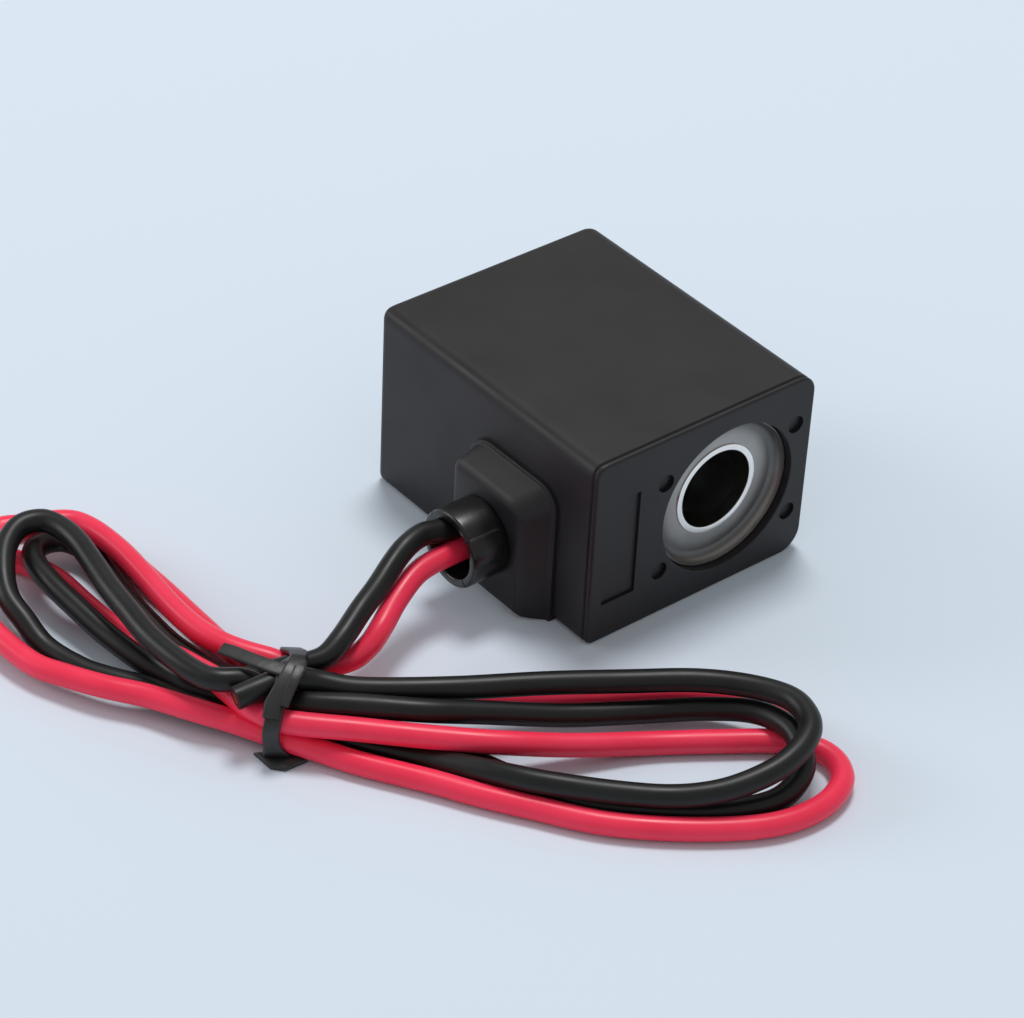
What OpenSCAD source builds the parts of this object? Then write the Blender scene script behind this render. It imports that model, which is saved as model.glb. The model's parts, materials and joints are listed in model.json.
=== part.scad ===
// Encapsulated coil for a small solenoid valve, with two flying leads in a tied hank.
// Millimetres, +Z up. The origin is the middle of the block's underside.
// The armature bore runs along Y and its open face with the panel recess is -Y.
// The leads leave the -X face through a slotted collar.

/* [Block] */
// Width of the block, across the lead side
block_w = 29; // [28:0.5:34]
// Length of the block, along the bore
block_d = 35; // [34:0.5:40]
// Height of the block
block_h = 22; // [22:0.5:26]
// Radius of the lower long edge on the lead side
edge_low_lead = 1; // [0.6:0.1:2]
// Radius of the lower long edge on the bore side
edge_low_bore = 2.6; // [1:0.1:3]
// Radius of the upper long edge on the bore side
edge_top_bore = 2.2; // [1:0.1:3]
// Radius of the upper long edge on the lead side
edge_top_lead = 1.3; // [0.6:0.1:2]
// Radius of the armature bore
bore_r = 4.5; // [4:0.05:4.6]
// Distance of the bore axis from the right side of the block
bore_inset = 11; // [11:0.1:12]

/* [Bore ends] */
// Radius of the recess around the bore, in both end faces
recess_r = 8.6; // [8.6:0.05:9]
// Depth of the dished washer's lip below the face
lip_depth = 0.8; // [0.4:0.1:1]
// Depth of the washer's flat bottom below the face
dish_depth = 1.95; // [1.6:0.05:2.1]
// Depth of the bush's bright end below the face
bush_depth = 1.8; // [1.4:0.1:2]
// Depth of the pole strip below the face
yoke_depth = 2.5; // [2.4:0.1:2.8]
// Outer radius of the bush
bush_r = 5.2; // [5:0.1:5.3]

/* [Lead outlet] */
// How far the outlet boss stands out of the block
boss_out = 3.2; // [2.5:0.1:4]
// Outer radius of the slotted collar
collar_r = 4.25; // [3.9:0.05:4.4]
// Radius of the hole through the collar
collar_bore = 3.25; // [3.1:0.05:3.4]
// Length of the collar outside the boss
collar_len = 4.5; // [3.5:0.1:6]
// Width of the slits in the collar
slit_w = 0.4; // [0.2:0.1:0.6]
// Number of slits in the collar
slits = 4; // [2:1:6]

/* [Leads] */
// Diameter of each insulated lead
lead_d = 2.4; // [2.2:0.1:2.5]
// Radius of the stranded copper core
core_r = 0.55; // [0.4:0.05:0.7]
// Width of the tie around the hank
tie_w = 2.2; // [1.6:0.1:3]
// Thickness of the tie
tie_t = 0.5; // [0.4:0.05:0.5]

/* [Hidden] */
$fn = 64;
eps = 0.01;
gap = 0.05;

// Places on the block
bore_x = block_w/2 - bore_inset;
bore_z = block_h/2;
face_y = block_d/2;
side_x = block_w/2;
outlet_y = -4.6;
outlet_z = 7.75;

// Coil along the bore, measured from the middle of the block
strip_t = 1.6;
strip_w = 13.6;
arm_y = face_y - yoke_depth;
flange_y = arm_y - strip_t;
flange_t = 1.2;
flange_r = 8.6;
tube_r = 6;
wire_r = 8.2;
tape_r = 8.4;
seat_y = 9;
web_x = bore_x - flange_r - 0.1;

// Terminal lug of the bobbin, beside the strip's web
lug_x = -side_x + 1.5;
lug_z = [1.6, 3.6];
pin_x = -10.5;
pin_w = 0.8;
pin_z = [2.2, 8.6];
start_y = -7.2;
finish_y = -2;
magnet_r = 0.18;
magnet_z = 3.9;

// Ends of the leads inside the boss
black_entry = [-15, -3.5, 9.3];
red_entry = [-15, -5, 7.4];
black_joint = [pin_x, finish_y, 8.2];
red_joint = [pin_x, start_y, 7.4];
solder_r = 1;

// Hank of leads: u runs along the hank, v across it, z up
hank_at = [-45, -8.5];
hank_turn = -39;

// Black lead, from the boss to its cut end, in hank u, v, z
BLACK = [
    [20.2, 22.8, 9.3], [17.5, 20.6, 9.4], [14.9, 18.4, 9.5], [12.7, 17, 9.9], [11.1, 15.1, 9.8],
    [9.8, 13.1, 9.1], [8.4, 10.5, 8.1], [6.8, 7.9, 7.1], [5.2, 4.6, 6.3], [3.6, 2.6, 5.4],
    [1.5, 1.9, 4.9], [0, 1.7, 4.65], [-3, 1.7, 3.5], [-5, 2.4, 2.5], [-7.4, 4, 1.8],
    [-9.6, 6.4, 1.4], [-12, 8.8, 1.3], [-14, 11.2, 1.4], [-16, 13.8, 1.6], [-18.2, 17.3, 1.6],
    [-20.1, 20.3, 1.8], [-22, 22.4, 2.2], [-24, 23.1, 2.6], [-25.8, 22.2, 3], [-26.8, 20.2, 3.5],
    [-26.3, 17.8, 3.6], [-24.5, 15, 3.5], [-21.5, 11.7, 3], [-18.7, 8.8, 2.5], [-16, 6.3, 2.2],
    [-13.6, 4.4, 1.9], [-11, 2.9, 1.5], [-9, 1.8, 1.3], [-4.5, 0.4, 1.3], [0, -0.8, 1.8],
    [5, -1.9, 1.4], [10, -3.4, 1.2], [14, -4.9, 1.2], [18, -7, 1.2], [21.5, -9.1, 1.2],
    [25, -11, 1.2], [30, -12.7, 1.2], [37, -13.3, 1.2], [43, -12.9, 1.2], [47.6, -11.2, 1.4],
    [49.9, -8, 2.4], [49.2, -4, 3.5], [46, -0.6, 3], [41, 0.9, 2], [34, 0.2, 1.8],
    [27, -1.2, 2.3], [19, -3, 3.8], [13.5, -4.2, 4.8], [7.4, -4.2, 5.1], [3, -3.9, 4.9],
    [0, -3.2, 4.4], [-2, -2.5, 5.2], [-4, -2.2, 6.1], [-6.2, -2.5, 6.3], [-8, -1.9, 6.2],
    [-10.6, 0.3, 6.2], [-13.6, 3.8, 6.2], [-16, 7.6, 6.2], [-18.2, 11.2, 6.2], [-20.1, 14.8, 6.2],
    [-22, 18.2, 6.2], [-23.9, 20.5, 6.2], [-26, 21.7, 6.2], [-28.2, 20.9, 6], [-29.3, 18.2, 5.5],
    [-29.2, 14.9, 4.6], [-28.4, 12.2, 3.6], [-26.6, 9.9, 2.7], [-24.2, 7.2, 1.5], [-20.3, 4.4, 1.2],
    [-17, 3, 1.2], [-13.6, 1.9, 1.2], [-11, 0.3, 1.2], [-9, -0.7, 1.2], [-4.5, -1.8, 1.3],
    [0, -3.2, 1.8], [5, -4.5, 1.3], [10, -6, 1.2], [14, -7.5, 1.5], [18, -9.5, 2.4],
    [21.5, -11.2, 3.1], [25, -12.4, 3.4], [31, -13.5, 3.5], [36.5, -14, 3.6], [40.6, -13.9, 4.1],
    [44, -13, 4.7], [47.4, -11, 5.3], [49.7, -8.2, 5.8], [50.4, -5.2, 6], [49, -1.9, 5.9],
    [45.4, 0.4, 5.4], [40, 1.7, 4.9], [33, 1.4, 4.7], [25, 0.4, 4.9], [16, -1.1, 5.1],
    [7.4, -1.8, 5.2], [3.6, -1.6, 5.6], [1.6, -1.8, 6.2], [0, -2.4, 6.7], [-2, -3.8, 6.7],
    [-4.6, -5.2, 6.3]
];

// Red lead, from the boss to its cut end, in hank u, v, z
RED = [
    [21.1, 21.6, 7.4], [18.4, 19.4, 7.5], [15.5, 17.1, 7.5], [12.4, 14.3, 7.3], [10.3, 10.8, 6.4],
    [8.9, 7.4, 5.5], [7.7, 5.6, 4.5], [6, 4.5, 3.6], [3.3, 4, 3.1], [0, 3.9, 3.1],
    [-2, 4.3, 3.5], [-4.5, 5, 3.7], [-6.8, 6.1, 3.8], [-9.3, 8.1, 3.8], [-11.8, 11.1, 3.8],
    [-14.4, 15, 3.8], [-17.1, 19, 3.8], [-19.2, 21.6, 3.8], [-21.2, 23.6, 3.8], [-23.2, 24.8, 3.8],
    [-25.4, 24.7, 3.8], [-27.8, 23.9, 3.7], [-30.4, 22.2, 3.6], [-32.4, 19.2, 3.6], [-32.8, 15.4, 3.4],
    [-31.6, 11.4, 2.8], [-29, 7.8, 2.3], [-25.2, 4.1, 2], [-21.8, 2.2, 2.2], [-17.8, 0.5, 2.4],
    [-13.4, -0.7, 2.4], [-8.9, -2.7, 2.6], [-5.4, -3.6, 2.2], [-2.4, -4.6, 1.9], [0, -5.6, 1.8],
    [3.4, -6.6, 1.4], [7.7, -8.2, 1.2], [14.3, -10.3, 1.2], [19, -12, 1.2], [24, -13.5, 1.2],
    [31, -15.4, 1.2], [39, -15.8, 1.2], [46.6, -14.8, 1.2], [51.5, -12, 1.2], [53.8, -8, 1.2],
    [52.6, -4.3, 1.2], [48.4, -2.7, 1.2], [42, -3, 1.2], [35, -3.8, 1.3], [28, -5.5, 2.2],
    [21, -6.9, 3.4], [14, -6.9, 3.8], [7, -6.4, 4], [0.2, -5.9, 4.2], [-2.6, -4.4, 4.2],
    [-4, -3, 3.9], [-5.5, -1.2, 3.8], [-7, 0.6, 3.8], [-9, 2.4, 3.6], [-11, 4.5, 3],
    [-13, 6.5, 2.1], [-15, 8.4, 1.4], [-17, 10.2, 1.2], [-19, 12.2, 1.2], [-21.6, 15.2, 1.2],
    [-24.4, 18.5, 1.2], [-27.4, 20.6, 1.2], [-30.4, 22, 1.2], [-32.4, 24.2, 1.2], [-31.2, 26.6, 1.2],
    [-28.2, 27.2, 1.2], [-24.8, 26.8, 1.2], [-22, 25.8, 1.2], [-20, 24.2, 1.2], [-17, 21.4, 1.2],
    [-13.4, 17.2, 1.2], [-9, 11.6, 1.2], [-5, 6.6, 1.2], [-2, 3.2, 1.5], [0.4, 1.5, 2.2],
    [4, 0.9, 1.8], [8, 1.2, 1.2], [14, 1.6, 1.2], [22, 2.2, 1.2], [30, 3.2, 1.2],
    [38, 4.2, 1.2], [45, 3.6, 1.2], [49.6, 1.2, 1.2]
];

// Where the runs lie inside the tie, in hank v, z
TIED = [
    [-5.6, 1.8], [-3.2, 1.8], [-0.8, 1.8], [1.6, 2.2], [-5.9, 4.2],
    [3.9, 3.1], [-3.2, 4.4], [-2.4, 6.7], [1.7, 4.65]
];

black_plastic = "#2d2e30";
collar_black = "#252628";
plated_steel = "#9a9c9e";
bright_steel = "#d4d6d8";
strip_steel = "#8a8f94";
bobbin_black = "#222326";
copper = "#b8683a";
tinned = "#c8c8c4";
tape_amber = "#c98a2c";
lead_red = "#e03350";
lead_black = "#1f2224";

// Turns a shape built along +Z about the bore axis, with z = 0 at the middle of the block
module on_bore() {
    translate([bore_x, 0, bore_z]) rotate([90, 0, 0]) children();
}

// The same, measured inwards from one end face: end = 1 for -Y, -1 for +Y
module from_face(end) {
    mirror([0, end < 0 ? 1 : 0, 0])
        translate([bore_x, -face_y, bore_z]) rotate([-90, 0, 0]) children();
}

// Puts a shape built in hank u, v, z into the part's frame
module on_hank() {
    translate([hank_at[0], hank_at[1], 0]) rotate([0, 0, hank_turn]) children();
}

// Outline of the block seen from its panel face, with its own radius at each long edge
module block_outline() {
    w = block_w/2;
    h = block_h/2;
    a = edge_low_lead;
    b = edge_low_bore;
    c = edge_top_bore;
    d = edge_top_lead;
    polygon([[-w, a - h], [a - w, -h], [w - b, -h], [w, b - h], [w, h - c], [w - c, h], [d - w, h], [-w, h - d]]);
    translate([a - w, a - h]) circle(a);
    translate([w - b, b - h]) circle(b);
    translate([w - c, h - c]) circle(c);
    translate([d - w, h - d]) circle(d);
}

// Straight round rod from a to b
module rod(a, b, r) {
    d = b - a;
    n = norm(d);
    translate(a) rotate([0, acos(d[2]/n), atan2(d[1], d[0])]) cylinder(h = n, r = r);
}

function box_size(lo, hi) = hi - lo;

module box(lo, hi) {
    translate(lo) cube(box_size(lo, hi));
}

// Plain tube along a route, one ring at each of its points
function unit(v) = v/norm(v);
function heading(p, i) = unit(p[min(i + 1, len(p) - 1)] - p[max(i - 1, 0)]);
function ring(at, t, r, sides) =
    let (across = unit(cross(t, [0, 0, 1])), up = cross(across, t))
    [for (k = [0:sides - 1]) at + r*(cos(360*k/sides)*across + sin(360*k/sides)*up)];

module tube(p, r, sides = 8) {
    rings = [for (i = [0:len(p) - 1]) each ring(p[i], heading(p, i), r, sides)];
    last = (len(p) - 1)*sides;
    walls = [
        for (i = [0:len(p) - 2], k = [0:sides - 1])
            let (a = i*sides + k, b = i*sides + (k + 1)%sides)
            each [[a, b, b + sides], [a, b + sides, a + sides]]
    ];
    ends = [
        [for (k = [sides - 1:-1:0]) k],
        [for (k = [0:sides - 1]) last + k]
    ];
    polyhedron(points = rings, faces = concat(walls, ends));
}

// Outlet boss, in y and z: where its tapered block meets the plinth, and its outer face
boss_foot = [[-11.8, 0], [1.3, 15.7]];
boss_face = [[-10, 0.6], [0.9, 13.85]];
boss_front_r = 2.2;
boss_rear_r = 1;
boss_root = 3;
plinth_out = 0.5;
plinth_grow = 0.4;

module plinth_outline() {
    lo = boss_foot[0] - [plinth_grow, 0];
    hi = boss_foot[1] + [plinth_grow, plinth_grow];
    f = boss_front_r + plinth_grow;
    r = boss_rear_r + plinth_grow;
    polygon([lo, [hi[0], lo[1]], [hi[0], hi[1] - r], [hi[0] - r, hi[1]], [lo[0] + f, hi[1]], [lo[0], hi[1] - f]]);
    translate([lo[0] + f, hi[1] - f]) circle(f);
    translate([hi[0] - r, hi[1] - r]) circle(r);
}

// All that lies inside a rounded edge between two planes with outward normals m and n
module inside_edge(at, m, n, r) {
    out = unit(m + n);
    along = unit(cross(m, n));
    side = cross(out, along);
    half = acos(m*n)/2;
    far = 60;
    touch = [r*sin(half), -r*sin(half)*tan(half)];
    end = touch + far*[cos(half), -sin(half)];
    multmatrix([
        [side[0], out[0], along[0], at[0]],
        [side[1], out[1], along[1], at[1]],
        [side[2], out[2], along[2], at[2]]
    ]) translate([0, 0.02, 0]) linear_extrude(2*far, center = true) {
        polygon([touch, end, [-end[0], end[1]], [-touch[0], touch[1]]]);
        translate([0, -r/cos(half)]) circle(r);
    }
}

module boss() {
    root_x = boss_root - side_x;
    foot_x = -side_x - plinth_out;
    face_x = -side_x - boss_out;
    rise = boss_out - plinth_out;
    top = unit([boss_face[1][1] - boss_foot[1][1], 0, rise]);
    front = unit([boss_foot[0][0] - boss_face[0][0], -rise, 0]);
    rear = unit([boss_face[1][0] - boss_foot[1][0], rise, 0]);
    translate([root_x, 0, 0]) rotate([90, 0, -90])
        mirror([1, 0, 0]) linear_extrude(root_x - foot_x) plinth_outline();
    intersection() {
        linear_extrude(block_h) polygon([
            [root_x, boss_foot[0][0]], [foot_x, boss_foot[0][0]], [face_x, boss_face[0][0]],
            [face_x, boss_face[1][0]], [foot_x, boss_foot[1][0]], [root_x, boss_foot[1][0]]
        ]);
        translate([0, 10, 0]) rotate([90, 0, 0]) linear_extrude(30) polygon([
            [root_x, boss_foot[0][1]], [foot_x, boss_foot[0][1]], [face_x, boss_face[0][1]],
            [face_x, boss_face[1][1]], [foot_x, boss_foot[1][1]], [root_x, boss_foot[1][1]]
        ]);
        inside_edge([foot_x, boss_foot[0][0], boss_foot[1][1]], top, front, boss_front_r);
        inside_edge([foot_x, boss_foot[1][0], boss_foot[1][1]], top, rear, boss_rear_r);
    }
}

// Space inside the moulding for the coil, its strip and its terminals
module coil_space() {
    on_bore() cylinder(h = 2*flange_y, r = flange_r + 0.1, center = true);
    box([web_x - strip_t - 0.1, -arm_y, bore_z - strip_w/2 - 0.1], [bore_x + 6.9, arm_y, bore_z + strip_w/2 + 0.1]);
    box([lug_x - gap, -flange_y - gap, lug_z[0] - gap], [web_x, 1.2, 11.5]);
    box([web_x - 1, -flange_y - gap, lug_z[0] - gap], [bore_x + gap, -flange_y + flange_t + gap, 5]);
    box([web_x - 1, -flange_y + flange_t, 3.4], [bore_x - 3, -9.6, 5]);
}

// One-piece moulded housing
module housing() {
    color(black_plastic) difference() {
        union() {
            translate([0, face_y, block_h/2]) rotate([90, 0, 0])
                linear_extrude(block_d) block_outline();
            boss();
        }
        coil_space();
        for (end = [1, -1]) from_face(end) {
            translate([0, 0, -1]) cylinder(h = 1 + yoke_depth + 0.1, r = recess_r);
            for (x = [-8.7, 8.7], y = [-5.5, 5.5]) translate([x, y, -1]) cylinder(h = 1.3, r = 1);
        }
        box([-12.8, -face_y - 1, 4.5], [-8.5, -face_y + 0.3, 17]);
        translate([-side_x + 3, outlet_y, outlet_z]) rotate([0, -90, 0]) cylinder(h = boss_out + 4, r = collar_r - 0.2 + gap);
    }
}

// Slotted collar that grips the leads, seated in the boss
module lead_collar() {
    slit_from = 1.2;
    color(collar_black) translate([-side_x - boss_out, outlet_y, outlet_z]) rotate([0, -90, 0]) difference() {
        rotate_extrude() polygon([
            [collar_bore, -boss_out], [collar_r - 0.2, -boss_out], [collar_r - 0.2, 0], [collar_r, 0],
            [collar_r, collar_len - 0.3], [collar_r - 0.3, collar_len], [collar_bore, collar_len]
        ]);
        for (k = [0:slits - 1]) rotate([0, 0, 45 + 360*k/slits])
            translate([2, -slit_w/2, slit_from]) cube([4, slit_w, collar_len]);
    }
}

// Dished washer in each end of the bore
module washer(end) {
    outer_r = recess_r - 0.1;
    curve_r = dish_depth - lip_depth;
    flat_r = outer_r - 0.15 - curve_r;
    color(plated_steel) from_face(end) rotate_extrude() difference() {
        translate([bush_r + gap, lip_depth]) square([outer_r - bush_r - gap, yoke_depth - lip_depth]);
        translate([bush_r - 1, lip_depth - 1]) square([flat_r - bush_r + 1, 1 + curve_r]);
        translate([flat_r, lip_depth]) circle(curve_r);
    }
}
module front_washer() washer(1);
module rear_washer() washer(-1);

// Plated bush that carries the flux from the strip to the armature
module bush(end) {
    color(bright_steel) from_face(end) translate([0, 0, bush_depth]) difference() {
        cylinder(h = face_y - seat_y - bush_depth, r = bush_r);
        translate([0, 0, -1]) cylinder(h = face_y, r = bore_r);
    }
}
module front_bush() bush(1);
module rear_bush() bush(-1);

// Steel strip bent round the coil, with a hole for a bush in each arm
module yoke() {
    color(strip_steel) difference() {
        union() {
            box([web_x - strip_t, -arm_y, bore_z - strip_w/2], [web_x, arm_y, bore_z + strip_w/2]);
            for (end = [1, -1]) from_face(end) translate([0, 0, yoke_depth]) {
                cylinder(h = strip_t, r = strip_w/2);
                translate([web_x - bore_x - eps, -strip_w/2, 0]) cube([bore_x - web_x + eps, strip_w, strip_t]);
            }
        }
        on_bore() cylinder(h = block_d, r = bush_r + gap, center = true);
    }
}

// Moulded bobbin: tube, two flanges and the lug that holds the terminal pins
module bobbin() {
    color(bobbin_black) difference() {
        union() {
            on_bore() cylinder(h = 2*flange_y, r = tube_r, center = true);
            for (end = [1, -1]) from_face(end)
                translate([0, 0, yoke_depth + strip_t]) cylinder(h = flange_t, r = flange_r);
            box([lug_x, -flange_y, lug_z[0]], [bore_x, -flange_y + flange_t, lug_z[1]]);
            box([lug_x, -flange_y, lug_z[0]], [web_x - strip_t - 0.4, 0.6, lug_z[1]]);
        }
        on_bore() cylinder(h = block_d, r = bore_r, center = true);
        for (end = [1, -1]) from_face(end)
            cylinder(h = face_y - seat_y, r = bush_r + gap);
        for (y = [start_y, finish_y])
            box([pin_x - pin_w/2 - gap, y - pin_w/2 - gap, pin_z[0]], [pin_x + pin_w/2 + gap, y + pin_w/2 + gap, 9]);
    }
}

// Copper winding between the flanges
module winding() {
    color(copper) on_bore() difference() {
        cylinder(h = 2*(flange_y - flange_t - 0.1), r = wire_r, center = true);
        cylinder(h = block_d, r = tube_r + gap, center = true);
    }
}

// Tape over the winding, short of the end where the wires come off
module winding_tape() {
    color(tape_amber) difference() {
        on_bore() cylinder(h = 2*(flange_y - flange_t - 0.2), r = tape_r, center = true);
        on_bore() cylinder(h = block_d, r = wire_r + gap/2, center = true);
        box([-side_x, -face_y, 0], [side_x, -10.6, block_h]);
    }
}

// Square terminal pins
module pin(y) {
    color(tinned) box([pin_x - pin_w/2, y - pin_w/2, pin_z[0]], [pin_x + pin_w/2, y + pin_w/2, pin_z[1]]);
}
module start_pin() pin(start_y);
module finish_pin() pin(finish_y);

// Enamelled ends of the winding, laid along the lug to the pins
module magnet_wire(way) {
    color(copper) for (i = [0:len(way) - 2]) {
        rod(way[i], way[i + 1], magnet_r);
        translate(way[i]) sphere(magnet_r);
    }
}
wind_x = bore_x - sqrt(pow(wire_r + magnet_r, 2) - pow(bore_z - magnet_z, 2));
module start_wire() magnet_wire([
    [wind_x, -11.6, magnet_z], [-8.3, -11.6, magnet_z], [pin_x + 0.1, start_y - pin_w/2 - magnet_r, magnet_z]
]);
module finish_wire() magnet_wire([
    [wind_x, -11, magnet_z], [-7.6, -11, magnet_z], [pin_x + pin_w/2 + magnet_r, finish_y, magnet_z]
]);

// Solder over each pin's top and the lead's core
module solder(y, joint, entry) {
    color(tinned) difference() {
        translate(joint) sphere(solder_r);
        box([pin_x - pin_w/2, y - pin_w/2, 0], [pin_x + pin_w/2, y + pin_w/2, pin_z[1]]);
        rod(entry, joint, core_r);
    }
}
module start_solder() solder(start_y, red_joint, red_entry);
module finish_solder() solder(finish_y, black_joint, black_entry);

// Stripped inner ends of the leads, cut off against the pins
module conductor(y, joint, entry) {
    color(copper) difference() {
        rod(entry, joint, core_r);
        box([pin_x - pin_w/2, y - pin_w/2, 0], [pin_x + pin_w/2, y + pin_w/2, pin_z[1]]);
    }
}
module red_conductor() conductor(start_y, red_joint, red_entry);
module black_conductor() conductor(finish_y, black_joint, black_entry);

// Insulated leads
module black_lead() color(lead_black) on_hank() tube(BLACK, lead_d/2);
module red_lead() color(lead_red) on_hank() tube(RED, lead_d/2);

// Cut end of the copper strands, just proud of the insulation
module cut_core(p) {
    last = len(p) - 1;
    color(copper) on_hank() rod(p[last], p[last] + 0.4*unit(p[last] - p[last - 1]), core_r);
}
module black_lead_core() cut_core(BLACK);
module red_lead_core() cut_core(RED);

// Outline around the tied runs, set off from the leads
module around_leads(off) {
    hull() for (p = TIED) translate(p) circle(lead_d/2 + off, $fn = 32);
}

// Flat ring of the tie, of a given width, between two distances from the leads
module tie_ring(width, near, far) {
    on_hank() rotate([90, 0, 90]) linear_extrude(width, center = true) difference() {
        around_leads(far);
        around_leads(near);
    }
}

// Twist tie: ribbon round the hank with a spread foot and a blunt tail
module tie_band() {
    color(lead_black) {
        difference() {
            tie_ring(tie_w, 0.1, 0.1 + tie_t);
            tie_ring(0.6, 0.15, tie_t);
        }
        on_hank() linear_extrude(tie_t) polygon([[-2.8, -6.2], [-1.1, -8.2], [0.4, -8.4], [2.4, -7], [1.1, -6.2], [-1.1, -6]]);
        on_hank() translate([0, 0, 8]) linear_extrude(tie_t) polygon([[1, -3.2], [-1.2, -3.3], [-5.9, -0.9], [-6.5, 0.4], [-1, -1.5], [1, -1.6]]);
    }
}

// Soft wire inside the ribbon
module tie_wire() {
    color(tinned) tie_ring(0.4, 0.2, tie_t - 0.05);
}

housing();
lead_collar();
front_washer();
rear_washer();
front_bush();
rear_bush();
yoke();
bobbin();
winding();
winding_tape();
start_pin();
finish_pin();
start_wire();
finish_wire();
start_solder();
finish_solder();
red_conductor();
black_conductor();
black_lead();
red_lead();
black_lead_core();
red_lead_core();
tie_band();
tie_wire();
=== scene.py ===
# Encapsulated solenoid coil with two flying leads in a tied hank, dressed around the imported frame.
import json
import math

import bmesh
import bpy
from mathutils import Matrix, Vector
from mathutils.geometry import convex_hull_2d


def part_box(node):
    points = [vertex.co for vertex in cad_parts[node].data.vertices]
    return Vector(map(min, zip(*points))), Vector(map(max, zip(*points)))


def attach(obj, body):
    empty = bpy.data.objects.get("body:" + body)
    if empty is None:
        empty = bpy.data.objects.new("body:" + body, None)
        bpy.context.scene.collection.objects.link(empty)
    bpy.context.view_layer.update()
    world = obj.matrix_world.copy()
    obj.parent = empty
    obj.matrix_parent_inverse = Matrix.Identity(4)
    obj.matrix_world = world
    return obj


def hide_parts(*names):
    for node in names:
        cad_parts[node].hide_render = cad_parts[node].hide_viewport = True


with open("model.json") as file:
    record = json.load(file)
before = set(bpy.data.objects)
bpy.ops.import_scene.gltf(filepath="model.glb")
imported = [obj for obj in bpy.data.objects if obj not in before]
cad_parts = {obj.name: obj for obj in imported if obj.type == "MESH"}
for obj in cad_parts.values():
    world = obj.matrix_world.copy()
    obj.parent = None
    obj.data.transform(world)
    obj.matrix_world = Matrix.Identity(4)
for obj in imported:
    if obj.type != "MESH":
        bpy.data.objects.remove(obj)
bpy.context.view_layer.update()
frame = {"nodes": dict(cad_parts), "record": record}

# Sizes are in millimetres until a mesh or curve is made
MM = 0.001


def box_mm(node):
    """Lowest and highest corners of a CAD node, in millimetres."""
    lo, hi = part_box(node)
    return lo / MM, hi / MM


# Places taken from the frame
house_lo, house_hi = box_mm("housing")
washer_lo, washer_hi = box_mm("front_washer")
bush_lo, bush_hi = box_mm("front_bush")
collar_lo, collar_hi = box_mm("lead_collar")
yoke_lo, yoke_hi = box_mm("yoke")
bobbin_lo = box_mm("bobbin")[0]
bore = next(m for m in frame["record"]["mounts"] if m["name"] == "armature_bore")
SIDE, FACE, TOP = house_hi
BORE_X = bore["pos_m"][0] / MM
BORE_Z = bore["pos_m"][2] / MM
BORE_R = bore["dims"]["r_mm"]
WASHER_R = (washer_hi.x - washer_lo.x) / 2
RECESS_R = WASHER_R + 0.1
BUSH_R = (bush_hi.x - bush_lo.x) / 2
BOSS_X = house_lo.x
OUT_Y = (collar_lo.y + collar_hi.y) / 2
OUT_Z = (collar_lo.z + collar_hi.z) / 2
COLLAR_LEN = BOSS_X - collar_lo.x
COLLAR_R = (collar_hi.z - collar_lo.z) / 2
COLLAR_BORE = 3.25

# Depths below the block's end faces of the washer's two sides and the bush's two ends
LIP = washer_lo.y + FACE
SEAT = washer_hi.y + FACE
BUSH_TOP = bush_lo.y + FACE
BUSH_END = bush_hi.y + FACE

# Radii of the block's long edges, by side of the block (x) and height (z)
EDGE_R = {(-1, -1): 1.0, (1, -1): 2.6, (1, 1): 2.2, (-1, 1): 1.3}

# Each lead's diameter and the radius of its copper
LEAD_D = 2.4
CORE_R = 0.55

# Hank of leads: its tied place, and its turn. u runs along the hank, v across it, z up
HANK_X, HANK_Y = -45, -8.5
HANK_TURN = math.radians(-39)

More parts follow.
